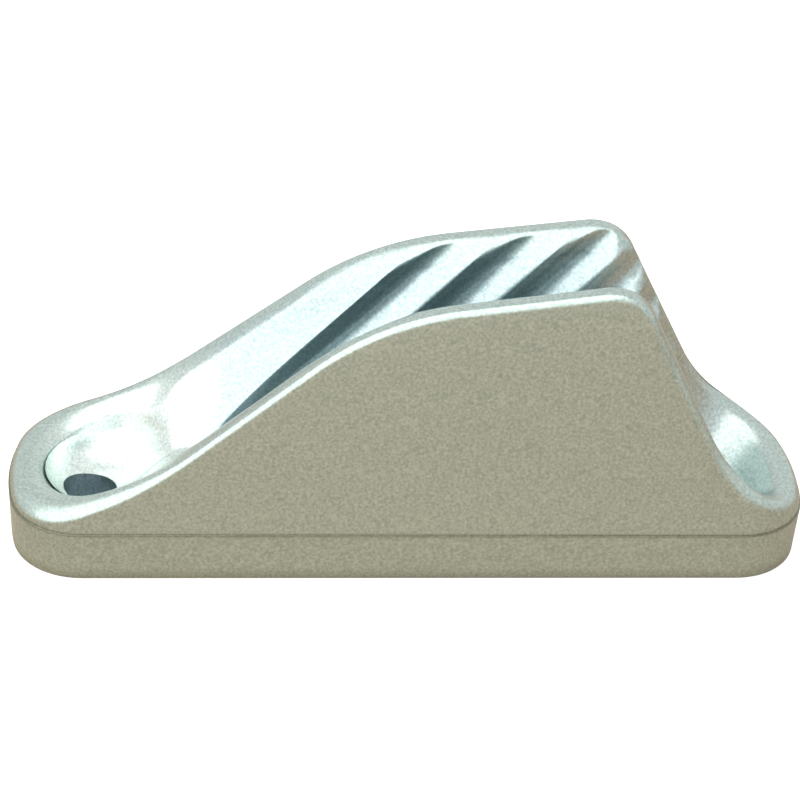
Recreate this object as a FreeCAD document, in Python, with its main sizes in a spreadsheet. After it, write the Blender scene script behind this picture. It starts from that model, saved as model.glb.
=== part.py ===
import FreeCAD, Part
import math
import os
import Sketcher

# Jam cleat for small cordage: one die-cast alloy body, screwed down at both ends.
# Two tall walls lean towards each other and hold the line in a V channel between them.
# Slanted teeth on the inner faces drag the loaded line down into the V.
# Frame: millimetres, X along the line with the load end at -X and the tail end at +X,
# Z up, origin at the middle of the flat underside.

SIZES = [
    ("overall_length", 82.0, "length over both ends, at the parting line"),
    ("overall_width", 21.5, "width over both sides, at the parting line"),
    ("plan_corner_radius", 7.7, "corner radius of the outline seen from above"),
    ("parting_height", 5.5, "height of the base band, up to the parting line of the casting"),
    ("parting_step", 0.15, "how far the base band stands out past the walls"),
    ("base_draft_angle", 1.5, "draft of the base band, in degrees"),
    ("wall_draft_angle", 6.0, "draft of the walls above the parting line, in degrees"),
    ("entry_end_height", 6.9, "rim height at the load end"),
    ("entry_foot_length", 10.4, "from the load end to the foot of the entry slope"),
    ("entry_foot_height", 7.6, "rim height at the foot of the entry slope"),
    ("entry_foot_radius", 34.0, "hollow bend at the foot of the entry slope"),
    ("entry_slope_run", 26.1, "run of the entry slope, from its foot to the crown"),
    ("crown_entry_height", 28.9, "rim height where the crown starts"),
    ("crown_entry_radius", 29.0, "bend from the entry slope into the crown"),
    ("crown_tail_height", 32.3, "rim height where the crown ends"),
    ("crown_tail_radius", 5.0, "shoulder from the crown into the tail slope"),
    ("tail_slope_run", 12.4, "run of the tail slope, from the crown to its foot"),
    ("tail_foot_length", 8.1, "from the tail end to the foot of the tail slope"),
    ("tail_foot_height", 9.0, "rim height at the foot of the tail slope"),
    ("tail_foot_radius", 18.5, "hollow bend at the foot of the tail slope"),
    ("tail_end_height", 6.7, "rim height at the tail end"),
    ("rim_edge_radius", 1.2, "rounding of the rim's outer edge"),
    ("lip_edge_radius", 2.2, "rounding of the rim's inner edge, along the V channel"),
    ("lip_width", 3.0, "from the outer wall to the V channel's wall, at the rim"),
    ("tray_edge_radius", 0.9, "rounding of the rim's inner edge, at the screw trays"),
    ("tray_lip_width", 2.1, "from the outer wall to a tray's wall, at the rim"),
    ("entry_flare_run", 6.0, "run ahead of the first crest over which the V channel's lip opens out"),
    ("channel_root_height", 8.3, "height of the bottom of the V channel"),
    ("channel_root_width", 1.7, "width of the bottom of the V channel"),
    ("channel_root_radius", 0.8, "rounding of the bottom of the V channel"),
    ("ramp_length", 6.8, "run of the ramp from the channel down to each screw tray"),
    ("tray_floor_height", 3.5, "thickness of metal under each screw tray"),
    ("tray_floor_width", 14.0, "width of each screw tray at its floor"),
    ("tray_floor_radius", 3.2, "rounding between a tray's floor and its wall"),
    ("screw_spacing", 65.5, "distance between the two screw holes"),
    ("screw_hole_diameter", 5.5, "clearance hole for a 5 mm screw"),
    ("tooth_pitch", 6.93, "tooth spacing, measured along X"),
    ("first_tooth_offset", 11.4, "from the load end to the first crest, both taken at the underside"),
    ("tooth_depth", 1.5, "depth of a tooth's groove, measured across the channel"),
    ("tooth_back_run", 3.4, "run along X from a crest to the bottom of the groove behind it"),
    ("tooth_root_radius", 4.5, "rounding at the bottom of a groove"),
    ("tooth_crest_land", 0.25, "flat left on a crest between two grooves"),
    ("tooth_foot_rise", 0.4, "from the bottom of the channel up to the foot of the teeth"),
    ("cutting_margin", 1.5, "how far a cutting shape reaches past the surface that it opens"),
]

doc = FreeCAD.newDocument("jam_cleat")
sheet = doc.addObject("Spreadsheet::Sheet", "sizes")
for row, (alias, value, note) in enumerate(SIZES, start=1):
    sheet.set(f"A{row}", note)
    sheet.set(f"B{row}", str(value))
    sheet.setAlias(f"B{row}", alias)
doc.recompute()


def size(alias):
    """One driving dimension, as the sheet holds it."""
    return float(sheet.get(alias))


# Position codes of a sketch element's points, and the sketch's own origin.
START, END, CENTRE = range(1, 4)
ORIGIN = (-1, 1)


def new_sketch(body, name, role):
    """An empty sketch on one of the body's own origin planes."""
    sketch = body.newObject("Sketcher::SketchObject", name)
    plane = next(plane for plane in body.Origin.OriginFeatures if plane.Role == role)
    sketch.AttachmentSupport = [(plane, "")]
    sketch.MapMode = "FlatFace"
    return sketch


def constrain(sketch, *constraint):
    """Add one geometric constraint to a sketch."""
    return sketch.addConstraint(Sketcher.Constraint(*constraint))


def dimension(sketch, name, expression, *constraint):
    """Add one named dimension to a sketch and bind it to the sheet."""
    value = float(sketch.evalExpression(expression))
    index = constrain(sketch, *constraint, value)
    sketch.renameConstraint(index, name)
    sketch.setExpression(f"Constraints.{name}", expression)


def outline_sketch(body, name, inset):
    """Rounded plan outline at the parting line, inset on every side by an expression."""
    sketch = new_sketch(body, name, "XY_Plane")
    sketch.setExpression("AttachmentOffset.Base.z", "sizes.parting_height")
    length = f"sizes.overall_length - 2 * ({inset})"
    width = f"sizes.overall_width - 2 * ({inset})"
    corner_radius = f"sizes.plan_corner_radius - ({inset})"
    radius = float(sketch.evalExpression(corner_radius))
    flat_x = float(sketch.evalExpression(length)) / 2 - radius
    flat_y = float(sketch.evalExpression(width)) / 2 - radius
    centres = [(flat_x, -flat_y), (flat_x, flat_y), (-flat_x, flat_y), (-flat_x, -flat_y)]
    arcs = []
    for corner, (x, y) in enumerate(centres):
        circle = Part.Circle(FreeCAD.Vector(x, y, 0), FreeCAD.Vector(0, 0, 1), radius)
        arcs.append(Part.ArcOfCircle(circle, math.radians(90 * corner - 90), math.radians(90 * corner)))
    for corner, arc in enumerate(arcs):
        sketch.addGeometry(Part.LineSegment(arcs[corner - 1].EndPoint, arc.StartPoint))
    for arc in arcs:
        sketch.addGeometry(arc)
    for side in range(4):
        constrain(sketch, "Tangent", side, END, side + 4, START)
        constrain(sketch, "Tangent", side + 4, END, (side + 1) % 4, START)
        constrain(sketch, "Vertical" if side % 2 else "Horizontal", side)
    for arc in (5, 6, 7):
        constrain(sketch, "Equal", 4, arc)
    constrain(sketch, "Symmetric", 4, CENTRE, 6, CENTRE, *ORIGIN)
    dimension(sketch, "length", length, "DistanceX", 3, START, 1, START)
    dimension(sketch, "width", width, "DistanceY", 0, START, 2, START)
    dimension(sketch, "corner_radius", corner_radius, "Radius", 4)
    return sketch


# The rim's side view is a path of straight lines with a bend at each corner between them.
# Each corner's X comes from the end of the body that it is nearer to, so that both slopes keep
# their form when the length changes and the crown takes up the difference.
RIM_CORNERS = [
    ("entry_end", "-sizes.overall_length / 2"),
    ("entry_foot", "sizes.entry_foot_length - sizes.overall_length / 2"),
    ("crown_entry", "sizes.entry_foot_length + sizes.entry_slope_run - sizes.overall_length / 2"),
    ("crown_tail", "sizes.overall_length / 2 - sizes.tail_foot_length - sizes.tail_slope_run"),
    ("tail_foot", "sizes.overall_length / 2 - sizes.tail_foot_length"),
    ("tail_end", "sizes.overall_length / 2"),
]
rim_corners = [
    FreeCAD.Vector(float(sheet.evalExpression(x)), size(f"{name}_height"), 0) for name, x in RIM_CORNERS
]


def bend(before, corner, after, radius):
    """First, middle and last point and centre of the arc that rounds a corner between two lines."""
    way_back = (before - corner).normalize()
    way_on = (after - corner).normalize()
    half_angle = way_back.getAngle(way_on) / 2
    inwards = (way_back + way_on).normalize()
    centre = corner + inwards * (radius / math.sin(half_angle))
    reach = radius / math.tan(half_angle)
    return corner + way_back * reach, centre - inwards * radius, corner + way_on * reach, centre


def rim_bend(number):
    """The bend at one of the rim's inner corners, numbered from 1."""
    radius = size(f"{RIM_CORNERS[number][0]}_radius")
    return bend(rim_corners[number - 1], rim_corners[number], rim_corners[number + 1], radius)


def rim_height(x):
    """Height of the rim above the underside at X, from the same lines and bends as the sketch."""
    for number in range(1, len(rim_corners) - 1):
        first, _, last, centre = rim_bend(number)
        if first.x <= x <= last.x:
            rise = math.sqrt((first - centre).Length ** 2 - (x - centre.x) ** 2)
            return centre.y + math.copysign(rise, first.y - centre.y)
    number = next(n for n, corner in enumerate(rim_corners[1:]) if x <= corner.x)
    before, after = rim_corners[number], rim_corners[number + 1]
    return before.y + (after.y - before.y) * (x - before.x) / (after.x - before.x)


def rim_sketch(body):
    """Side view of what is cut away above the rim, drawn from the corners and their bends."""
    sketch = new_sketch(body, "rim_side_view", "XZ_Plane")
    runs = len(rim_corners) - 1
    for before, after in zip(rim_corners, rim_corners[1:]):
        sketch.addGeometry(Part.LineSegment(before, after), True)
    for number in range(1, runs):
        constrain(sketch, "Coincident", number - 1, END, number, START)
    for number, (name, x) in enumerate(RIM_CORNERS):
        place = (number, START) if number < runs else (runs - 1, END)
        dimension(sketch, f"{name}_x", x, "DistanceX", *ORIGIN, *place)
        dimension(sketch, f"{name}_z", f"sizes.{name}_height", "DistanceY", *ORIGIN, *place)

    bends = [rim_bend(number) for number in range(1, runs)]
    starts = [rim_corners[0]] + [last for _, _, last, _ in bends]
    ends = [first for first, _, _, _ in bends] + [rim_corners[-1]]
    for start, end in zip(starts, ends):
        sketch.addGeometry(Part.LineSegment(start, end))
    constrain(sketch, "Coincident", runs, START, 0, START)
    constrain(sketch, "Coincident", 2 * runs - 1, END, runs - 1, END)
    for number, (first, middle, last, centre) in enumerate(bends):
        hollow = centre.y > middle.y
        arc = sketch.addGeometry(Part.Arc(*((first, middle, last) if hollow else (last, middle, first))))
        line = runs + number
        constrain(sketch, "Tangent", line, END, arc, START if hollow else END)
        constrain(sketch, "Tangent", arc, END if hollow else START, line + 1, START)
        constrain(sketch, "PointOnObject", line, END, number)
        constrain(sketch, "PointOnObject", line + 1, START, number + 1)
        name = RIM_CORNERS[number + 1][0]
        dimension(sketch, f"{name}_bend", f"sizes.{name}_radius", "Radius", arc)

    top_z = "sizes.crown_tail_height + 2 * sizes.cutting_margin"
    top_left = FreeCAD.Vector(rim_corners[0].x, float(sketch.evalExpression(top_z)), 0)
    top_right = FreeCAD.Vector(rim_corners[-1].x, top_left.y, 0)
    right = sketch.addGeometry(Part.LineSegment(rim_corners[-1], top_right))
    across = sketch.addGeometry(Part.LineSegment(top_right, top_left))
    left = sketch.addGeometry(Part.LineSegment(top_left, rim_corners[0]))
    constrain(sketch, "Coincident", 2 * runs - 1, END, right, START)
    constrain(sketch, "Coincident", right, END, across, START)
    constrain(sketch, "Coincident", across, END, left, START)
    constrain(sketch, "Coincident", left, END, runs, START)
    constrain(sketch, "Vertical", right)
    constrain(sketch, "Horizontal", across)
    constrain(sketch, "Vertical", left)
    dimension(sketch, "top_z", top_z, "DistanceY", *ORIGIN, across, START)
    return sketch


TOLERANCE = 0.01


def middle_of(edge):
    """The point halfway along an edge."""
    return edge.valueAt((edge.FirstParameter + edge.LastParameter) / 2)


def rim_outline(shape):
    """Numbers of the edges where the rim meets the outer walls, all the way round."""
    end_x = size("overall_length") / 2
    numbers = []
    for number, edge in enumerate(shape.Edges, start=1):
        middle = middle_of(edge)
        start, end = (edge.valueAt(place) for place in edge.ParameterRange)
        on_rim = abs(middle.x) < end_x and abs(middle.z - rim_height(middle.x)) < TOLERANCE
        across = abs(start.x - end.x) < TOLERANCE and abs(start.x) < end_x - size("rim_edge_radius")
        if on_rim and not across:
            numbers.append(number)
    return numbers


# The casting before its channel is cut: a base band, the two walls as one tapered block,
# and the side view cut across it.
blank = doc.addObject("PartDesign::Body", "blank")

band = blank.newObject("PartDesign::Pad", "base_band")
band.Profile = outline_sketch(blank, "band_outline", "0")
band.setExpression("Length", "sizes.parting_height")
band.setExpression("TaperAngle", "-sizes.base_draft_angle")
band.Reversed = True

block = blank.newObject("PartDesign::Pad", "tapered_block")
block.Profile = outline_sketch(blank, "block_outline", "sizes.parting_step")
block.setExpression("Length", "sizes.crown_tail_height + sizes.cutting_margin - sizes.parting_height")
block.setExpression("TaperAngle", "-sizes.wall_draft_angle")
doc.recompute()

above_rim = blank.newObject("PartDesign::Pocket", "above_rim")
above_rim.Profile = rim_sketch(blank)
above_rim.Type = "ThroughAll"
above_rim.SideType = "Symmetric"
doc.recompute()

rim_rounding = blank.newObject("PartDesign::Fillet", "rim_rounding")
outer_edges = rim_outline(above_rim.Shape)
rim_rounding.Base = (above_rim, [f"Edge{number}" for number in outer_edges])
rim_rounding.setExpression("Radius", "sizes.rim_edge_radius")
doc.recompute()

# The channel's section changes along X. In the middle it is a narrow V, whose lip opens out
# ahead of the first crest. Over a ramp at each end it widens and deepens into a screw tray,
# whose round end shares the body's own end centre.
LIP_CROSSING_SHARE = 0.06
tray_x = (size("overall_length") - size("overall_width")) / 2
first_crest_x = size("first_tooth_offset") - size("overall_length") / 2
wall_slope = math.tan(math.radians(size("wall_draft_angle")))


def smooth_step(way):
    """0 up to the way's start, 1 from its end on, and a smooth S between them."""
    way = min(max(way, 0.0), 1.0)
    return way * way * (3 - 2 * way)


def tray_share(x):
    """0 in the V channel, 1 in the screw trays, and a smooth ramp between them."""
    return smooth_step((abs(x) - (tray_x - size("ramp_length"))) / size("ramp_length"))


def lip_share(x):
    """0 over the teeth, 1 round the trays and up the entry slope, ahead of the first crest."""
    ahead = rim_height(x) + first_crest_x - x
    return max(tray_share(x), smooth_step(ahead / size("entry_flare_run")))


def between(channel_value, tray_value, share):
    """A size part of the way from its channel value to its tray value."""
    return channel_value + (tray_value - channel_value) * share


def section_corner(x):
    """Where the channel's floor and its +Y wall would meet at X, were they not rounded."""
    share = tray_share(x)
    half_width = between(size("channel_root_width"), size("tray_floor_width"), share) / 2
    height = between(size("channel_root_height"), size("tray_floor_height"), share)
    return FreeCAD.Vector(x, half_width, height)


def section_lip(x):
    """Where the channel's +Y wall meets the rim at X."""
    height = rim_height(x)
    outer_wall = size("overall_width") / 2 - size("parting_step")
    outer_wall -= (height - size("parting_height")) * wall_slope
    lip_width = between(size("lip_width"), size("tray_lip_width"), lip_share(x))
    return FreeCAD.Vector(x, outer_wall - lip_width, height)


def half_section(x):
    """The channel's +Y half section at X, from the floor's middle out and up past the rim.

    A bend joins the floor to the wall and another rounds the wall's top edge over. The second
    one ends a little above the rim, so that its end crosses the rim instead of grazing it.
    """
    corner = section_corner(x)
    middle = FreeCAD.Vector(x, 0, corner.z)
    lip = section_lip(x)
    lip_radius = between(size("lip_edge_radius"), size("tray_edge_radius"), lip_share(x))
    crossing = lip_radius * LIP_CROSSING_SHARE
    wall_top = corner + (lip - corner) * ((lip.z + crossing - corner.z) / (lip.z - corner.z))
    outwards = wall_top + FreeCAD.Vector(0, size("lip_width"), 0)
    floor_radius = between(size("channel_root_radius"), size("tray_floor_radius"), tray_share(x))
    floor_bend = bend(middle, corner, wall_top, floor_radius)[:3]
    lip_bend = bend(corner, wall_top, outwards, lip_radius)[:3]
    above = lip_bend[2] + FreeCAD.Vector(0, 0, size("cutting_margin"))
    return middle, floor_bend, lip_bend, above


def mirrored(*places):
    """The same places on the -Y side, in the opposite order."""
    return [FreeCAD.Vector(place.x, -place.y, place.z) for place in reversed(places)]


def half_edges(floor_bend, lip_bend, above):
    """Edges of one half section, from the floor up: bend, wall, bend, riser."""
    return [
        Part.Arc(*floor_bend).toShape(),
        Part.LineSegment(floor_bend[2], lip_bend[0]).toShape(),
        Part.Arc(*lip_bend).toShape(),
        Part.LineSegment(lip_bend[2], above).toShape(),
    ]


def channel_section(x):
    """The channel's closed section at X: both halves, joined along the floor and over the top."""
    _, floor_bend, lip_bend, above = half_section(x)
    other_floor, other_lip = mirrored(*floor_bend), mirrored(*lip_bend)
    (other_above,) = mirrored(above)
    return Part.Wire(
        [Part.LineSegment(other_floor[2], floor_bend[0]).toShape()]
        + half_edges(floor_bend, lip_bend, above)
        + [
            Part.LineSegment(above, other_above).toShape(),
            Part.LineSegment(other_above, other_lip[0]).toShape(),
            Part.Arc(*other_lip).toShape(),
            Part.LineSegment(other_lip[2], other_floor[0]).toShape(),
            Part.Arc(*other_floor).toShape(),
        ]
    )


def tray_end(x, turn_angle):
    """The round end of a tray: the half section at X turned about the upright through its middle."""
    middle, floor_bend, lip_bend, above = half_section(x)
    axis_top = FreeCAD.Vector(x, 0, above.z)
    outline = Part.Wire(
        [Part.LineSegment(middle, floor_bend[0]).toShape()]
        + half_edges(floor_bend, lip_bend, above)
        + [Part.LineSegment(above, axis_top).toShape(), Part.LineSegment(axis_top, middle).toShape()]
    )
    return Part.Face(outline).revolve(middle, FreeCAD.Vector(0, 0, 1), turn_angle)


RAMP_STATION_STEP = 0.85
V_STATION_STEP = 3.0


def evenly(first, last, step):
    """The places that divide a length into equal steps near a wanted one, both ends among them."""
    steps = round((last - first) / step)
    return [first + (last - first) * number / steps for number in range(steps + 1)]


ramp_top_x = tray_x - size("ramp_length")
stations = evenly(-tray_x, -ramp_top_x, RAMP_STATION_STEP)
stations += evenly(-ramp_top_x, ramp_top_x, V_STATION_STEP)[1:-1]
stations += evenly(ramp_top_x, tray_x, RAMP_STATION_STEP)
channel_loft = Part.makeLoft([channel_section(x) for x in stations], True, False)
channel = doc.addObject("Part::Feature", "line_channel")
channel.Shape = channel_loft.fuse([tray_end(-tray_x, 180), tray_end(tray_x, -180)])

open_body = doc.addObject("Part::Cut", "open_body")
open_body.Base = blank
open_body.Tool = channel
doc.recompute()


# The teeth are grooves cut into both walls. Each crest climbs at 45 degrees from the load end's
# side up towards the tail. Behind it one flank drops into a rounded root, and another comes back
# out to the next crest. The grooves run out where the wall rounds over into the rim.
GROOVE_LEVEL_STEP = 3.5
CLIMB_STEP = 0.4
NEAR_MIDDLE_SHARE = 0.25
FADE_SHARE = 0.9
OVERRUN_SHARE = 0.1


def wall_place(x, z):
    """Y of the +Y wall's face at X and Z, before the teeth are cut."""
    inside_x = min(max(x, -tray_x), tray_x)
    corner = section_corner(inside_x)
    lip = section_lip(inside_x)
    return corner.y + (lip.y - corner.y) * (z - corner.z) / (lip.z - corner.z)


def groove_section(crest_x, z):
    """A groove's level section at Z: two flanks and a round root, closed inside the open channel.

    Both flanks run on past the wall's face, so that the face cuts them off at the crests.
    """
    pitch_end = crest_x + size("tooth_pitch") - size("tooth_crest_land")
    root_x = crest_x + size("tooth_back_run")
    crest = FreeCAD.Vector(crest_x, wall_place(crest_x, z), z)
    depth = size("tooth_depth") * (1 - FADE_SHARE * tray_share(root_x))
    root = FreeCAD.Vector(root_x, wall_place(root_x, z) + depth, z)
    next_crest = FreeCAD.Vector(pitch_end, wall_place(pitch_end, z), z)
    first, turn, last, _ = bend(crest, root, next_crest, size("tooth_root_radius"))
    near_end = crest + (crest - root) * OVERRUN_SHARE
    far_end = next_crest + (next_crest - root) * OVERRUN_SHARE
    near_middle = size("channel_root_width") * NEAR_MIDDLE_SHARE
    far_inside = FreeCAD.Vector(far_end.x, near_middle, z)
    near_inside = FreeCAD.Vector(near_end.x, near_middle, z)
    return Part.Wire(
        [
            Part.LineSegment(near_end, first).toShape(),
            Part.Arc(first, turn, last).toShape(),
            Part.LineSegment(last, far_end).toShape(),
            Part.LineSegment(far_end, far_inside).toShape(),
            Part.LineSegment(far_inside, near_inside).toShape(),
            Part.LineSegment(near_inside, near_end).toShape(),
        ]
    )


def groove(number):
    """One slanted groove in the +Y wall, counted from the load end."""
    offset = first_crest_x + number * size("tooth_pitch")
    highest = lowest
    while highest + offset < tray_x and highest < rim_height(highest + offset) + size("cutting_margin"):
        highest += CLIMB_STEP
    levels = evenly(lowest, highest, GROOVE_LEVEL_STEP)
    return Part.makeLoft([groove_section(z + offset, z) for z in levels], True, False)


# There are as many grooves as the bottom of the V has room for.
lowest = size("channel_root_height") + size("tooth_foot_rise")
tooth_count = int((ramp_top_x - lowest - first_crest_x) / size("tooth_pitch"))
grooves = [groove(number) for number in range(tooth_count)]
other_wall = [one.mirror(FreeCAD.Vector(0, 0, 0), FreeCAD.Vector(0, 1, 0)) for one in grooves]

# Neighbouring grooves overlap at their crest, so every second one is cut first and the rest after.
toothed_body = open_body
for turn, name in enumerate(("first_grooves", "second_grooves")):
    cutters = doc.addObject("Part::Feature", name)
    cutters.Shape = Part.makeCompound(grooves[turn::2] + other_wall[turn::2])
    cut = doc.addObject("Part::Cut", f"body_after_{name}")
    cut.Base = toothed_body
    cut.Tool = cutters
    toothed_body = cut

# A clearance hole stands in the floor of each tray.
holes = []
for name, side in (("entry_hole", "-"), ("tail_hole", "")):
    hole = doc.addObject("Part::Cylinder", name)
    hole.setExpression("Radius", "sizes.screw_hole_diameter / 2")
    hole.setExpression("Height", "sizes.entry_end_height + 2 * sizes.cutting_margin")
    hole.setExpression("Placement.Base.x", f"{side}sizes.screw_spacing / 2")
    hole.setExpression("Placement.Base.z", "-sizes.cutting_margin")
    holes.append(hole)
screw_holes = doc.addObject("Part::MultiFuse", "screw_holes")
screw_holes.Shapes = holes

cleat_body = doc.addObject("Part::Cut", "cleat_body")
cleat_body.Label = "cleat_body"
cleat_body.Base = toothed_body
cleat_body.Tool = screw_holes
doc.recompute()

for item in doc.Objects:
    if "Invalid" in item.State or "Error" in item.State:
        raise RuntimeError(f"{item.Label} failed to build: {item.State}")
if cleat_body.Shape.isNull() or not cleat_body.Shape.isValid():
    raise RuntimeError("cleat_body has no valid shape")
if len(cleat_body.Shape.Solids) != 1:
    raise RuntimeError("cleat_body should be one solid")

os.makedirs("parts", exist_ok=True)
cleat_body.Shape.exportStep(f"parts/{cleat_body.Label}.step")
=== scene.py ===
import bmesh
import bpy
import math
import numpy as np
from mathutils import Matrix, Vector


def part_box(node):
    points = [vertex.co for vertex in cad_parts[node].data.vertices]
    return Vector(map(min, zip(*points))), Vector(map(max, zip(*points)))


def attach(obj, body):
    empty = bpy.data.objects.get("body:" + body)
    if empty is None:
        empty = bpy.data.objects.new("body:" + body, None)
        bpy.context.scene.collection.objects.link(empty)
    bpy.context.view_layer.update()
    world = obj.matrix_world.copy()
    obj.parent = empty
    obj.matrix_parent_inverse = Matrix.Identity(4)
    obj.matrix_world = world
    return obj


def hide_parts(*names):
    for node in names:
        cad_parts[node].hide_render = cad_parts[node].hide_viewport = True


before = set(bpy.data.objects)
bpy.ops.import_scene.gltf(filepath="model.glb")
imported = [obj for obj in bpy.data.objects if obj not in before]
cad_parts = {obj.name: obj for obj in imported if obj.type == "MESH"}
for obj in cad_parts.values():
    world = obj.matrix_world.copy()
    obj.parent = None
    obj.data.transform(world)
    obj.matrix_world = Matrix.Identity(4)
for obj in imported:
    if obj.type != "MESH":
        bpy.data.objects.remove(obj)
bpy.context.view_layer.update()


# The outside of the casting. One die-cast aluminium body: a base band, and above the parting
# line two walls that lean in. A rim runs along the walls' tops and round both ends, where it
# comes down to the screw trays. Sizes are in millimetres up to the mesh.
HALF_LENGTH, HALF_WIDTH = (round(1000 * side, 2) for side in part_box("cleat_body")[1][:2])
PLAN_CORNER, PLAN_END = 7.4, 24.0
PARTING_HEIGHT, PARTING_STEP = 5.5, 0.15
BAND_DRAFT, WALL_DRAFT = math.tan(math.radians(1.5)), math.tan(math.radians(6.0))
RIM_X = np.array([-HALF_LENGTH, -30.6, -4.5, 20.5, 32.9, HALF_LENGTH])
RIM_Z = np.array([6.9, 7.6, 28.9, 32.3, 9.0, 6.7])
RIM_BENDS = [34.0, 29.0, 5.0, 18.5]


def rim_height(x):
    """Height of the rim: straight runs between its corners, with a circle touching both at each."""
    height = np.interp(x, RIM_X, RIM_Z)
    corners = np.stack([RIM_X, RIM_Z], axis=1)
    for before, corner, after, radius in zip(corners, corners[1:], corners[2:], RIM_BENDS):
        back = (before - corner) / np.linalg.norm(before - corner)
        onward = (after - corner) / np.linalg.norm(after - corner)
        half_angle = math.acos(back @ onward) / 2
        middle = (back + onward) / np.linalg.norm(back + onward)
        centre = corner + middle * radius / math.sin(half_angle)
        first, last = corner[0] + np.array([back[0], onward[0]]) * radius / math.tan(half_angle)
        rise = np.sqrt(np.maximum(radius**2 - (x - centre[0]) ** 2, 0.0))
        arc = centre[1] + math.copysign(1.0, corner[1] - centre[1]) * rise
        height = np.where((x > first) & (x < last), arc, height)
    return height


def outer_inset(z):
    """How far the outside stands in from the parting line's outline: each draft times the height."""
    above = PARTING_STEP + (z - PARTING_HEIGHT) * WALL_DRAFT
    return np.where(z > PARTING_HEIGHT, above, (PARTING_HEIGHT - z) * BAND_DRAFT)


# The V channel and the screw trays. The line runs between the walls' inner faces, over a narrow
# rounded root. At each end the faces open out and the root comes down a ramp to a spoon-shaped
# tray with a clearance hole for a deck screw. The tail's tray is the rounder bowl of the two.
TRAY_X = HALF_LENGTH - HALF_WIDTH
LIP_WIDTH, ENTRY_LIP_WIDTH, TAIL_LIP_WIDTH = 3.0, 2.4, 2.0
ROOT_WIDTH, ROOT_HEIGHT, ROOT_BEND = 1.7, 8.3, 0.8
TRAY_WIDTH, TRAY_FLOOR, TRAY_BEND = 12.4, 3.5, 4.0
TAIL_TRAY_WIDTH = 9.0
RAMP_LENGTH = 6.8
HOLE_X, HOLE_RADIUS = 32.75, 2.75


def tray_share(x):
    """0 in the V channel and 1 in the trays: a smoothstep of the way along the ramp."""
    way = np.clip((np.abs(x) - (TRAY_X - RAMP_LENGTH)) / RAMP_LENGTH, 0.0, 1.0)
    return way * way * (3 - 2 * way)


def channel_value(root, tray, x):
    """A size that goes from its value in the channel to its value in the trays, by the share."""
    return root + (tray - root) * tray_share(x)


def floor_reach(x):
    """Distance of the floor's corner from the middle: half the root's width, or half the tray's."""
    return channel_value(ROOT_WIDTH, np.where(x < 0, TRAY_WIDTH, TAIL_TRAY_WIDTH), x) / 2


def wall_reach(x, z):
    """Distance of the inner wall from the middle: straight up from the floor's corner to the lip.

    The lip stands in from the outer face by its width. Round the tail tray's end each column
    has a lip of its own, which keeps that width from the outline. The entry's flare is added.
    """
    x = np.clip(x, -TRAY_X, TRAY_X)
    foot = floor_reach(x)
    foot_z = channel_value(ROOT_HEIGHT, TRAY_FLOOR, x)
    lip_z = rim_height(x)
    tray_lip = np.where(x < 0, ENTRY_LIP_WIDTH, TAIL_LIP_WIDTH)
    lip = HALF_WIDTH - outer_inset(lip_z) - channel_value(LIP_WIDTH, tray_lip, x)
    lip_z, lip = np.where(round_tail, tail_lip_z, lip_z), np.where(round_tail, tail_lip, lip)
    return foot + (lip - foot) * (z - foot_z) / (lip_z - foot_z) + entry_flare(x, z)


# The jam teeth. Six grooves in each wall, cast in, whose crests climb at 45 degrees so that the
# line is drawn down and grips. Behind each crest one flank drops into a round root, and another
# comes back out to the next crest. Ahead of the first crest the wall opens out for the line.
TOOTH_PITCH, TOOTH_COUNT = 6.93, 6
TOOTH_DEPTH, BACK_RUN, CREST_LAND = 1.5, 3.4, 0.25
ROOT_BLEND, CREST_BLEND, LIP_BLEND = 1.0, 0.05, 0.12
GROOVE_FOOT, GROOVE_FADE = 8.7, 1.2
FIRST_CREST = -29.6
FLARE, FLARE_SLOPE, FLARE_RISE = 0.9, 0.28, 3.0


def soft_lower(a, b, width):
    """The lower of two values, with the corner between them rounded over a width."""
    overlap = np.maximum(width - np.abs(a - b), 0.0)
    return np.minimum(a, b) - overlap**2 / (4 * width)


def tooth_cut(x, z):
    """Depth of the teeth below the wall's face.

    Along a wall the place in the pitch is x minus z. From it both flanks rise in a straight
    line, and the lower of the two, rounded where they meet, is the depth.
    """
    crest_line = x - z - FIRST_CREST
    number = np.floor(crest_line / TOOTH_PITCH)
    place = crest_line - number * TOOTH_PITCH
    front_run = TOOTH_PITCH - CREST_LAND - BACK_RUN
    flanks = soft_lower(place / BACK_RUN, (TOOTH_PITCH - CREST_LAND - place) / front_run, ROOT_BLEND)
    share = -soft_lower(-flanks, np.zeros_like(flanks), CREST_BLEND)
    within = (number >= 0) & (number < TOOTH_COUNT)
    fade = np.clip((z - GROOVE_FOOT) / GROOVE_FADE, 0.0, 1.0)
    return np.where(within, share, 0.0) * TOOTH_DEPTH * fade * (1 - tray_share(x))


def entry_flare(x, z):
    """How far the wall opens out ahead of the first crest.

    It is nothing at the crest, and ahead of it nears its full value by an exponential of the
    distance. It rises from nothing above the root's bend, and fades out towards the tray.
    """
    ahead = np.maximum(z + FIRST_CREST - x, 0.0)
    above_root = np.clip((z - ROOT_HEIGHT - ROOT_BEND) / FLARE_RISE, 0.0, 1.0)
    return FLARE * (1 - np.exp(-ahead * FLARE_SLOPE / FLARE)) * above_root * (1 - tray_share(x))


# The columns of the skin. The body is one piece, so its skin is one closed grid, whose columns
# run from the underside out, up a wall, over the rim and down into the channel. Over the teeth
# they lean at 45 degrees with the crests, and round a tray's end they fan out from its middle.
CREST_STEP, CREST_STEPS = 0.07, 2
FLANK_START, FLANK_END, FLANK_COLUMNS = 0.35, 0.45, 25
ENTRY_STEP, ENTRY_GAP = 0.125, 0.06
TAIL_STEP, TAIL_GAP = 0.25, 0.1
FAN_COLUMNS, RIM_SAMPLES = 73, 6001
TINY = 1e-9

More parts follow.
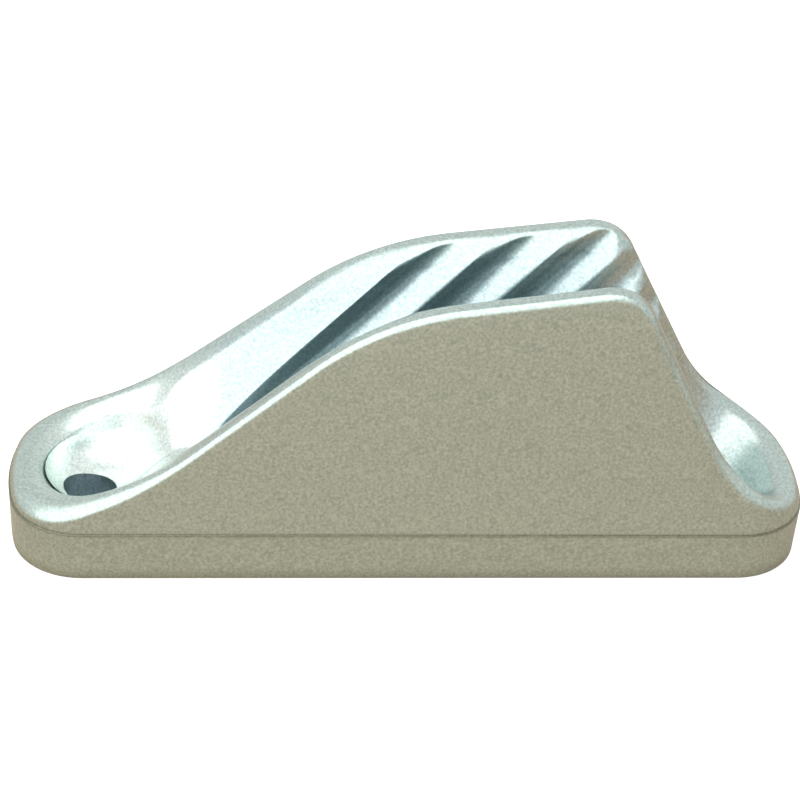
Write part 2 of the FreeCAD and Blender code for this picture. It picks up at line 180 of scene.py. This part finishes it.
crest_places = CREST_STEP * np.arange(-CREST_STEPS, CREST_STEPS + 1)
tooth_lines = FIRST_CREST + TOOTH_PITCH * np.arange(TOOTH_COUNT + 1)
between_crests = np.linspace(FLANK_START, TOOTH_PITCH - FLANK_END, FLANK_COLUMNS)
crest_lines = np.sort(
    np.concatenate(
        [
            (tooth_lines[:, None] + crest_places).ravel(),
            (tooth_lines[:-1, None] + between_crests).ravel(),
        ]
    )
)
# Along a crest x minus z stays the same, so it meets the rim where the rim has that value too.
fine_x = np.linspace(-TRAY_X, TRAY_X, RIM_SAMPLES)
teeth_rim = np.interp(crest_lines, fine_x - rim_height(fine_x), fine_x)
teeth_floor = crest_lines + GROOVE_FOOT
entry_floor = np.arange(-TRAY_X, teeth_floor[0] - ENTRY_GAP, ENTRY_STEP)
entry_rim = -TRAY_X + (entry_floor + TRAY_X) * (teeth_rim[0] + TRAY_X) / (teeth_floor[0] + TRAY_X)
tail_floor = TRAY_X - np.arange(0.0, TRAY_X - teeth_floor[-1] - TAIL_GAP, TAIL_STEP)[::-1]
tail_rim = TRAY_X - (TRAY_X - tail_floor) * (TRAY_X - teeth_rim[-1]) / (TRAY_X - teeth_floor[-1])
wall_rim = np.concatenate([entry_rim, teeth_rim, tail_rim])
wall_floor = np.concatenate([entry_floor, teeth_floor, tail_floor])
fan = np.linspace(0.0, math.pi, FAN_COLUMNS)[1:-1]


def round_the_body(along_wall):
    """The columns' places along X: up the +Y wall, round the tail, back, and round the entry."""
    tail_end, entry_end = np.full(fan.size, TRAY_X), np.full(fan.size, -TRAY_X)
    return np.concatenate([along_wall, tail_end, along_wall[::-1], entry_end])


rim_x = round_the_body(wall_rim)
floor_x = round_the_body(wall_floor)
straight = np.zeros(wall_rim.size)
way_x = np.concatenate([straight, np.sin(fan), straight, -np.sin(fan)])
way_y = np.concatenate([straight + 1, np.cos(fan), straight - 1, -np.cos(fan)])

# The outline is a straight side, a corner's circle and the end's bow, each tangent to the next.
end_x = HALF_LENGTH - PLAN_END
corner_y = HALF_WIDTH - PLAN_CORNER
end_lean = math.asin(corner_y / (PLAN_END - PLAN_CORNER))
corner_x = end_x + (PLAN_END - PLAN_CORNER) * math.cos(end_lean)


def circle_reach(along, across, x, y, radius):
    """Distance from a tray's middle to a circle round (x, y), along a way out from the middle."""
    towards = (x - TRAY_X) * along + y * across
    return towards + np.sqrt(np.maximum(radius**2 - (x - TRAY_X) ** 2 - y**2 + towards**2, 0.0))


side_reach = HALF_WIDTH / np.maximum(np.abs(way_y), TINY)
corner_reach = circle_reach(np.abs(way_x), np.abs(way_y), corner_x, corner_y, PLAN_CORNER)
end_reach = circle_reach(np.abs(way_x), np.abs(way_y), end_x, 0.0, PLAN_END)
on_side = np.abs(rim_x) + np.abs(way_x) * side_reach <= corner_x
on_end = np.abs(way_y) * end_reach <= PLAN_END * math.sin(end_lean)
reach = np.where(on_side, side_reach, np.where(on_end, end_reach, corner_reach))
outline = np.stack([rim_x + way_x * reach, way_y * reach], axis=1)

# The way square to the outline leads out from a circle's middle. On a straight side any point
# straight in from it serves as the middle.
middle_x = np.where(on_side, np.abs(outline[:, 0]), np.where(on_end, end_x, corner_x))
middle_y = np.where(on_side, HALF_WIDTH - 1, np.where(on_end, 0.0, corner_y))
outward = outline - np.column_stack([middle_x, middle_y]) * np.sign(outline)
outward /= np.linalg.norm(outward, axis=1)[:, None]


# The rim's edges. The rim is a narrow flat band, rounded over on both sides as it left the die.
# Its outer edge is rounder round the entry end and down the tail's slope, and its inner one,
# the lip, is roundest along the teeth. A round has a width across the rim and a drop from it.
ENTRY_STRETCH, CROWN_STRETCH = (-24.0, -36.0), (17.0, 23.0)
SLOPE_TOP, SLOPE_FOOT, LEAST_AT_FOOT = (20.0, 24.0), (38.0, 32.0), 0.35
EDGE_SHARE_OF_RIM, BOTH_SHARE_OF_RIM, DROP_SHARE_OF_WALL = 0.55, 0.98, 0.55
ROOM_OVER_PARTING = 0.33
FITTING_ROUNDS = 12

# Round the tail's end each column's lip keeps its width from the outline.
round_tail = (rim_x > 0) & (way_x > 0)
tail_lip = reach - outer_inset(rim_height(rim_x + way_x * reach)) - TAIL_LIP_WIDTH
tail_lip_z = rim_height(rim_x + way_x * tail_lip)


def outside(z):
    """Points of the outside at a height, one for each column: the outline, set in by the draft."""
    z = np.broadcast_to(z, reach.shape)
    plan = outline - outward * outer_inset(z)[:, None]
    return np.column_stack([plan, z])


def inside(x, distance, z):
    """Points at a distance from the middle, one for each column, along its way out."""
    return np.column_stack([x + way_x * distance, way_y * distance, np.broadcast_to(z, reach.shape)])


# The rim's two corners are found by going back and forth between height and place.
outer_z = rim_height(rim_x)
lip_distance = wall_reach(rim_x, outer_z)
for _ in range(FITTING_ROUNDS):
    outer_z = rim_height(outside(outer_z)[:, 0])
    lip_x = rim_x + way_x * lip_distance
    lip_distance = wall_reach(rim_x, rim_height(lip_x))
lip_z = rim_height(rim_x + way_x * lip_distance)
outer_corner = outside(outer_z)
lip_corner = inside(rim_x, lip_distance, lip_z)
rim_width = np.linalg.norm((lip_corner - outer_corner)[:, :2], axis=1)


def on_rim(share):
    """Points on the rim, a share of the way from its outer corner to the lip."""
    plan = outer_corner[:, :2] + (lip_corner - outer_corner)[:, :2] * share[:, None]
    return np.column_stack([plan, rim_height(plan[:, 0])])


def share_along(x, stretch):
    """How far along a stretch of X a place is: its distance from the start, over the length.

    It is 0 before the start and 1 past the end, and a stretch may run either way.
    """
    start, end = stretch
    return np.clip((x - start) / (end - start), 0.0, 1.0)


at_entry = rim_x < 0
entry_share = share_along(outline[:, 0], ENTRY_STRETCH)
crown_share = share_along(rim_x, CROWN_STRETCH)
slope_foot_share = np.maximum(share_along(outline[:, 0], SLOPE_FOOT), LEAST_AT_FOOT)
slope_share = share_along(outline[:, 0], SLOPE_TOP) * slope_foot_share


def outer_edge(plain, entry_more, slope_more):
    """A measure of the outer edge's round: a plain value, and more at the entry and the slope."""
    return plain + entry_more * entry_share + slope_more * slope_share


def lip_edge(teeth, crown_less, entry_tray, tail_tray, entry_end_more, tail_end_more):
    """A measure of the lip's round: its value along the teeth, less at the crown, or a tray's.

    Round a tray's end it grows by the share of the column's way out that runs along X.
    """
    tray = np.where(at_entry, entry_tray, tail_tray)
    end_more = np.where(at_entry, entry_end_more, tail_end_more)
    return channel_value(teeth - crown_less * crown_share, tray, rim_x) + end_more * np.abs(way_x)


outer_round = outer_edge(plain=0.45, entry_more=1.4, slope_more=0.8)
outer_round = np.minimum(outer_round, EDGE_SHARE_OF_RIM * rim_width)
outer_drop = outer_edge(plain=0.72, entry_more=0.58, slope_more=1.2)
outer_drop = np.minimum(outer_drop, outer_z - PARTING_HEIGHT - ROOM_OVER_PARTING)
lip_round = lip_edge(
    teeth=1.75, crown_less=0.85, entry_tray=1.8, tail_tray=0.9, entry_end_more=1.0, tail_end_more=0.5
)
lip_round = np.minimum(lip_round, BOTH_SHARE_OF_RIM * rim_width - outer_round)
lip_drop = lip_edge(
    teeth=3.2, crown_less=1.6, entry_tray=1.5, tail_tray=0.8, entry_end_more=0.7, tail_end_more=0.3
)
lip_drop = np.minimum(lip_drop, DROP_SHARE_OF_WALL * (lip_z - TRAY_FLOOR))


# The inner faces and the floor. The toothed wall comes down from the lip to a bend, and the
# floor's flat carries on from there to the middle, or to the edge of a tray's screw hole.
BEND_ROWS, FLAT_ROWS = 12, 4
BEND_STEPS, FLAT_STEPS = 48, 24

root_z = channel_value(ROOT_HEIGHT, TRAY_FLOOR, floor_x)
root_reach = floor_reach(floor_x)
wall_angle = np.arctan2(lip_z - root_z, lip_distance - root_reach)
floor_bend = channel_value(ROOT_BEND, TRAY_BEND, floor_x) * np.tan(wall_angle / 2)
foot_z = root_z + floor_bend * np.sin(wall_angle)
lean = (rim_x - floor_x) / (lip_z - foot_z)

# A column reaches the hole's edge where its way out crosses the hole's circle. Where it misses
# the circle, its reach is nothing.
hole_offset = HOLE_X - np.abs(floor_x)
hole_reach = hole_offset * np.abs(way_x) + np.sqrt(
    np.maximum(HOLE_RADIUS**2 - (hole_offset * way_y) ** 2, 0.0)
)


def inner_wall(z, rounding=0.0):
    """Points of the toothed wall at a height: each column leans from its rim to its floor place.

    A point lies as far out as the groove's bottom or the rounded lip, whichever is further.
    """
    x = rim_x - lean * (lip_z - z)
    return inside(x, wall_reach(x, z) - soft_lower(-tooth_cut(x, z), -rounding, LIP_BLEND), z)


def rounded(corner, start, end, steps):
    """Rows round a corner from one point to another: a quarter of the ellipse that they set."""
    turn = np.linspace(0.0, math.pi / 2, steps)[:, None, None]
    return corner + (start - corner) * (1 - np.sin(turn)) + (end - corner) * (1 - np.cos(turn))


def lip_rows(steps):
    """Rows over the rounded lip, from the rim down to the wall, with the grooves cut into them.

    A row's rounding is how far its point of the round lies outside the plain wall.
    """
    start = on_rim(1 - lip_round / rim_width)
    foot = inner_wall(lip_z - lip_drop)
    arc = rounded(lip_corner, start, foot, steps)
    way_out = np.column_stack([way_x, way_y])
    along = np.sum((arc[:, :, :2] - inside(rim_x, 0.0, lip_z)[:, :2]) * way_out, axis=2)
    lip = []
    for reached, z in zip(along, arc[:, :, 2]):
        plain_wall = wall_reach(rim_x - lean * (lip_z - z), z)
        lip.append(inner_wall(z, np.maximum(reached - plain_wall, 0.0)))
    return np.stack(lip)


def straight_rows(start, end, steps):
    """Rows in equal steps between two others, which aren't among them."""
    way = np.linspace(0.0, 1.0, steps + 2)[1:-1, None, None]
    return start + (end - start) * way


wall_foot = inner_wall(foot_z)
floor_corner = inside(floor_x, root_reach, root_z)
bend_end = np.maximum(root_reach - floor_bend, 0.0)


def floor_rows(bend_rows, flat_rows):
    """Rows from the wall's foot to the middle or the hole's edge.

    A fine path runs round the floor bend and along the flat floor. It ends where its distance
    from the middle comes down to the hole's reach, and the rows divide it evenly up to there.
    """
    flat_start, middle = inside(floor_x, bend_end, root_z), inside(floor_x, bend_end * 0, root_z)
    curve = rounded(floor_corner, wall_foot, flat_start, BEND_STEPS)
    path = np.concatenate([curve, straight_rows(flat_start, middle, FLAT_STEPS), middle[None]])
    distance = np.hypot(path[:, :, 0] - floor_x, path[:, :, 1])
    columns = np.arange(reach.size)
    after = np.clip(np.argmax(distance <= hole_reach + TINY, axis=0), 1, None)
    step = np.maximum(distance[after - 1, columns] - distance[after, columns], TINY)
    end = after - 1 + np.clip((distance[after - 1, columns] - hole_reach) / step, 0.0, 1.0)
    bend_end_place = np.minimum(BEND_STEPS - 1, end)
    places = np.concatenate(
        [
            np.linspace(0, bend_end_place, bend_rows),
            np.linspace(bend_end_place, end, flat_rows + 1)[1:],
        ]
    )
    lower = np.minimum(places.astype(int), len(path) - 2)
    part = (places - lower)[:, :, None]
    return path[lower, columns] * (1 - part) + path[lower + 1, columns] * part


# The whole skin, strip by strip from the hole's lower edge out and round to the hole's wall. The
# band's lower edge is rounded, and the parting line is a fine step, tinted darker in a narrow band.
FOOT_ROUND = 0.35
PARTING_OFFSETS = (-0.36, -0.14, -0.03, 0.02, 0.12, 0.32)
RIM_SHARES = (0.25, 0.5, 0.75)
UNDERSIDE_ROWS, FOOT_ROWS, BAND_ROWS, OUTER_ROWS, EDGE_ROWS = 2, 5, 3, 24, 9
LIP_ROWS, TOOTHED_ROWS = 20, 24


def set_in(points, distance):
    """The same points moved in towards the body, square to the outline."""
    return points - np.column_stack([outward * distance, np.zeros(reach.size)])


band_foot, foot_top = outside(0.0), outside(FOOT_ROUND)
underside_edge = set_in(band_foot, FOOT_ROUND)
parting = [outside(PARTING_HEIGHT + offset) for offset in PARTING_OFFSETS]
rim_start, rim_end = outer_round / rim_width, 1 - lip_round / rim_width
edge_foot, edge_top = outside(outer_z - outer_drop), on_rim(rim_start)
wall_top_z = lip_z - lip_drop
wall_shares = np.linspace(0, 1, TOOTHED_ROWS + 2)[1:-1]
toothed_heights = [wall_top_z * (1 - share) + foot_z * share for share in wall_shares]
floor = floor_rows(BEND_ROWS, FLAT_ROWS)
hole_bottom, hole_top = inside(floor_x, hole_reach, 0.0), floor[-1]
underside = straight_rows(hole_bottom, underside_edge, UNDERSIDE_ROWS)
strips = {
    "underside": np.concatenate([hole_bottom[None], underside]),
    "foot": rounded(band_foot, underside_edge, foot_top, FOOT_ROWS),
    "band": straight_rows(foot_top, parting[0], BAND_ROWS),
    "parting line": np.stack(parting),
    "outer wall": straight_rows(parting[-1], edge_foot, OUTER_ROWS),
    "outer edge": rounded(outer_corner, edge_foot, edge_top, EDGE_ROWS),
    "rim": np.stack([on_rim(rim_start * (1 - share) + rim_end * share) for share in RIM_SHARES]),
    "lip": lip_rows(LIP_ROWS),
    "toothed wall": np.stack([inner_wall(z) for z in toothed_heights]),
    "floor": floor[:-1],
    "hole": np.stack([hole_top, hole_bottom * 0.5 + hole_top * 0.5]),
}
rows = np.concatenate(list(strips.values()))

# Each cell of the grid is a face. The grid closes on itself both ways, and where there is no
# hole the last strip has no faces, because floor and underside don't meet there.
row_count, column_count = rows.shape[:2]
row, column = np.meshgrid(np.arange(row_count), np.arange(column_count), indexing="ij")
next_row, next_column = (row + 1) % row_count, (column + 1) % column_count
faces = np.stack(
    [
        row * column_count + column,
        row * column_count + next_column,
        next_row * column_count + next_column,
        next_row * column_count + column,
    ],
    axis=-1,
)
holed = np.maximum(hole_reach, np.roll(hole_reach, -1)) > 0
kept = (row < row_count - len(strips["hole"])) | holed[column]

# The tint, by which the finish multiplies its tone, holds painted light and shade. The channel is a
# little bluish, a painted cast of its shaded reflections, the entry's tray is much brighter with
# painted light, and the tail's tray has a faint painted cast. The band's lower edge is darkened as
# painted shade, and a narrow band along the parting line is tinted darker.
# Painted light: the channel's bluish cast, the entry tray's brightening and the tail tray's faint cast
# stand in for reflected light and shade.
CHANNEL_PAINTED_REFLECTION, ENTRY_PAINTED_LIGHT, TAIL_PAINTED_LIGHT = (0.94, 0.95, 1.05), (1.60, 1.47, 1.52), (1.02, 0.99, 1.03)
ENTRY_PAINTED_LIGHT_STRETCH, TAIL_PAINTED_LIGHT_STRETCH = (-19.0, -24.0), (22.0, 29.0)
# One dark tint gives the band's lower edge its painted shade and the parting line its narrow darker
# band.
DARKENING_TINT = (0.42, 0.34, 0.26)
FOOT_PAINTED_SHADE, PARTING_DARKENING = (0.5, 0.45, 0.3), (0.0, 0.2, 0.9, 0.91, 0.25, 0.0)

inner_share = {name: np.zeros(len(strip)) for name, strip in strips.items()}
inner_share["lip"][:] = np.arange(LIP_ROWS) / LIP_ROWS
inner_share["toothed wall"][:] = 1.0
inner_share["floor"][:] = 1.0
darkening_share = {name: np.zeros(len(strip)) for name, strip in strips.items()}
# Painted shade on the last rows of the band's lower edge, and a darker band along the parting line.
darkening_share["foot"][-len(FOOT_PAINTED_SHADE):] = FOOT_PAINTED_SHADE
darkening_share["parting line"][:] = PARTING_DARKENING
inner = np.concatenate(list(inner_share.values()))[:, None, None]
darkening = np.concatenate(list(darkening_share.values()))[:, None, None]

rows_x = rows[:, :, :1]
# The trays' painted light fades in along X and blends with the channel's painted bluish cast.
entry_painted_light_share, tail_painted_light_share = share_along(rows_x, ENTRY_PAINTED_LIGHT_STRETCH), share_along(rows_x, TAIL_PAINTED_LIGHT_STRETCH)
tray_painted_light_share = np.where(rows_x < 0, entry_painted_light_share, tail_painted_light_share)
tray_painted_light = np.where(rows_x < 0, ENTRY_PAINTED_LIGHT, TAIL_PAINTED_LIGHT)
inner_painted_light = np.array(CHANNEL_PAINTED_REFLECTION) + (tray_painted_light - CHANNEL_PAINTED_REFLECTION) * tray_painted_light_share
tint = 1 + (inner_painted_light - 1) * inner
# Then the painted shade of the lower edge and the parting line's darker band are mixed in.
tint = tint + (np.array(DARKENING_TINT) - tint) * darkening

# The mesh, in metres. Where columns meet in one point their corners are welded.
MILLIMETRE = 0.001
WELD_DISTANCE, SMALLEST_EDGE = 2e-6, 1e-6
SHARP_ANGLE = math.radians(50)

skin = bpy.data.meshes.new("cleat_skin")
skin.from_pydata((rows.reshape(-1, 3) * MILLIMETRE).tolist(), [], faces[kept].tolist())
# The tint, with its painted light and shade, rides on the points as a colour attribute.
tint_values = np.concatenate([tint, np.ones((row_count, column_count, 1))], axis=2)
skin.attributes.new("tint", "FLOAT_COLOR", "POINT").data.foreach_set("color", tint_values.ravel())
welded = bmesh.new()
welded.from_mesh(skin)
bmesh.ops.remove_doubles(welded, verts=welded.verts, dist=WELD_DISTANCE)
bmesh.ops.dissolve_degenerate(welded, edges=welded.edges, dist=SMALLEST_EDGE)
bmesh.ops.recalc_face_normals(welded, faces=welded.faces)
welded.to_mesh(skin)
welded.free()
skin.shade_smooth()
skin.set_sharp_from_angle(angle=SHARP_ANGLE)
cleat = bpy.data.objects.new("cleat_casting", skin)
bpy.context.scene.collection.objects.link(cleat)


# The finish. Blasted and clear-anodised aluminium: a satin metal with a fine grain and a faint
# cloudiness in its tone, multiplied by the tint that the skin carries, with its painted light and
# shade.
GRAIN_SCALE, GRAIN_DEPTH = 3500, 0.00006
DARK_FROM, LIGHT_FROM = 0.3, 0.7
DARK_TONE, LIGHT_TONE = (0.345, 0.43, 0.395, 1), (0.555, 0.65, 0.605, 1)

satin = bpy.data.materials.new("satin_alloy")
satin.use_nodes = True
nodes, links = satin.node_tree.nodes, satin.node_tree.links
shader = nodes["Principled BSDF"]
shader.inputs["Metallic"].default_value = 1.0
shader.inputs["Roughness"].default_value = 0.32
place = nodes.new("ShaderNodeTexCoord")
grain = nodes.new("ShaderNodeTexNoise")
grain.inputs["Scale"].default_value = GRAIN_SCALE
grain.inputs["Detail"].default_value = 4
links.new(place.outputs["Object"], grain.inputs["Vector"])
bump = nodes.new("ShaderNodeBump")
bump.inputs["Strength"].default_value = 0.15
bump.inputs["Distance"].default_value = GRAIN_DEPTH
links.new(grain.outputs["Fac"], bump.inputs["Height"])
links.new(bump.outputs["Normal"], shader.inputs["Normal"])
tone = nodes.new("ShaderNodeValToRGB")
dark, light = tone.color_ramp.elements
dark.position = DARK_FROM
dark.color = DARK_TONE
light.position = LIGHT_FROM
light.color = LIGHT_TONE
links.new(grain.outputs["Fac"], tone.inputs["Fac"])
# The skin's tint, which holds painted light and shade, multiplies the tone.
tint_there = nodes.new("ShaderNodeAttribute")
tint_there.attribute_name = "tint"
tinted = nodes.new("ShaderNodeMix")
tinted.data_type = "RGBA"
tinted.blend_type = "MULTIPLY"
tinted.inputs["Factor"].default_value = 1.0
sockets = {socket.identifier: socket for socket in [*tinted.inputs, *tinted.outputs]}
links.new(tone.outputs["Color"], sockets["A_Color"])
links.new(tint_there.outputs["Color"], sockets["B_Color"])
links.new(sockets["Result_Color"], shader.inputs["Base Color"])
cleat.data.materials.append(satin)
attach(cleat, "root")
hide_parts("cleat_body")


# The floor. A plain pale sheet, shown white, that keeps the casting's soft shadow. The two cells under
# the screw holes carry painted shade, dim and bluish, where the holes look down on the floor. Sizes
# are in metres.
SHEET = 2.0
CELL_LENGTH, CELL_WIDTH = 0.0075, 0.007
PALE_COLOUR, PAINTED_SHADE_COLOUR = (0.71, 0.545, 0.425, 1), (0.30, 0.36, 0.46, 1)

cell_x = HOLE_X * MILLIMETRE + CELL_LENGTH * np.array([-0.5, 0.5])
cell_y = CELL_WIDTH * np.array([-0.5, 0.5])
lines_x = np.concatenate([[-SHEET], -cell_x[::-1], cell_x, [SHEET]])
lines_y = np.concatenate([[-SHEET], cell_y, [SHEET]])
sheet_points = [(x, y, 0.0) for y in lines_y for x in lines_x]
cells_along, cells_across = len(lines_x) - 1, len(lines_y) - 1
first = (np.arange(cells_across)[:, None] * len(lines_x) + np.arange(cells_along)).ravel()
sheet_cells = np.stack([first, first + 1, first + len(lines_x) + 1, first + len(lines_x)], axis=1)
floor_mesh = bpy.data.meshes.new("floor_sheet")
floor_mesh.from_pydata(sheet_points, [], sheet_cells.tolist())
floor_sheet = bpy.data.objects.new("floor", floor_mesh)
bpy.context.scene.collection.objects.link(floor_sheet)

pale = bpy.data.materials.new("pale_floor")
pale.use_nodes = True
nodes, links = pale.node_tree.nodes, pale.node_tree.links
pale_shader = nodes["Principled BSDF"]
pale_shader.inputs["Base Color"].default_value = PALE_COLOUR
pale_shader.inputs["Roughness"].default_value = 0.9
pale_shader.inputs["Specular IOR Level"].default_value = 0.0
shown = nodes.new("ShaderNodeBsdfDiffuse")
shown.inputs["Color"].default_value = (1, 1, 1, 1)
glow = nodes.new("ShaderNodeEmission")
glow.inputs["Strength"].default_value = 0.55
lit = nodes.new("ShaderNodeAddShader")
links.new(shown.outputs[0], lit.inputs[0])
links.new(glow.outputs[0], lit.inputs[1])
rays = nodes.new("ShaderNodeLightPath")
seen = nodes.new("ShaderNodeMixShader")
links.new(rays.outputs["Is Camera Ray"], seen.inputs["Fac"])
links.new(pale_shader.outputs[0], seen.inputs[1])
links.new(lit.outputs[0], seen.inputs[2])
links.new(seen.outputs[0], nodes["Material Output"].inputs["Surface"])
floor_mesh.materials.append(pale)

# Painted shade: a dim bluish material for the floor under the screw holes.
painted_shade = bpy.data.materials.new("painted_shade_floor")
painted_shade.use_nodes = True
painted_shade_shader = painted_shade.node_tree.nodes["Principled BSDF"]
painted_shade_shader.inputs["Base Color"].default_value = PAINTED_SHADE_COLOUR
painted_shade_shader.inputs["Roughness"].default_value = 0.9
floor_mesh.materials.append(painted_shade)
for under_hole in (cells_along + 1, cells_along + 3):
    floor_mesh.polygons[under_hole].material_index = 1


# The light. One large soft lamp in front, above and to the entry's side, and an even pale
# surround, which the camera and the metal see as white.
LAMP_PLACE, LAMP_TARGET = Vector((-0.295, -0.406, 0.572)), Vector((0.0, 0.0, 0.015))

lamp = bpy.data.lights.new("front_lamp", "AREA")
lamp.size = 1.7
lamp.energy = 12.3
lamp.color = (0.97, 1.0, 1.0)
lamp_holder = bpy.data.objects.new("front_lamp", lamp)
lamp_holder.location = LAMP_PLACE
lamp_holder.rotation_euler = (LAMP_TARGET - LAMP_PLACE).to_track_quat("-Z", "Y").to_euler()
bpy.context.scene.collection.objects.link(lamp_holder)

surround = bpy.data.worlds.new("surround")
bpy.context.scene.world = surround
surround.use_nodes = True
nodes, links = surround.node_tree.nodes, surround.node_tree.links
even = nodes["Background"]
even.inputs["Color"].default_value = (0.95, 1.0, 1.0, 1)
even.inputs["Strength"].default_value = 0.45
white = nodes.new("ShaderNodeBackground")
white.inputs["Color"].default_value = (1, 1, 1, 1)
white.inputs["Strength"].default_value = 1.0
rays = nodes.new("ShaderNodeLightPath")
seen_or_glossy = nodes.new("ShaderNodeMath")
seen_or_glossy.operation = "MAXIMUM"
links.new(rays.outputs["Is Camera Ray"], seen_or_glossy.inputs[0])
links.new(rays.outputs["Is Glossy Ray"], seen_or_glossy.inputs[1])
mixed = nodes.new("ShaderNodeMixShader")
links.new(seen_or_glossy.outputs[0], mixed.inputs["Fac"])
links.new(even.outputs[0], mixed.inputs[1])
links.new(white.outputs[0], mixed.inputs[2])
links.new(mixed.outputs[0], nodes["World Output"].inputs["Surface"])
bpy.context.scene.view_settings.view_transform = "Standard"


# The camera. It stands where the photograph was taken from: in front and above, a little to the
# entry's side, and rolled a little. Distances are in metres and the focal length in millimetres.
AZIMUTH, ELEVATION, ROLL = math.radians(6.31), math.radians(32.90), math.radians(3.81)
DISTANCE, FOCAL_LENGTH = 0.2362, 104.6
LOOKED_AT = Vector((-0.00136, 0.0, 0.01476))

level = math.cos(ELEVATION)
ahead = Vector((math.sin(AZIMUTH) * level, math.cos(AZIMUTH) * level, -math.sin(ELEVATION)))
lens = bpy.data.cameras.new("camera")
lens.lens = FOCAL_LENGTH
lens.clip_start = 0.01
camera = bpy.data.objects.new("camera", lens)
bpy.context.scene.collection.objects.link(camera)
camera.matrix_world = (
    Matrix.Translation(LOOKED_AT - ahead * DISTANCE)
    @ ahead.to_track_quat("-Z", "Y").to_matrix().to_4x4()
    @ Matrix.Rotation(ROLL, 4, "Z")
)
bpy.context.scene.camera = camera
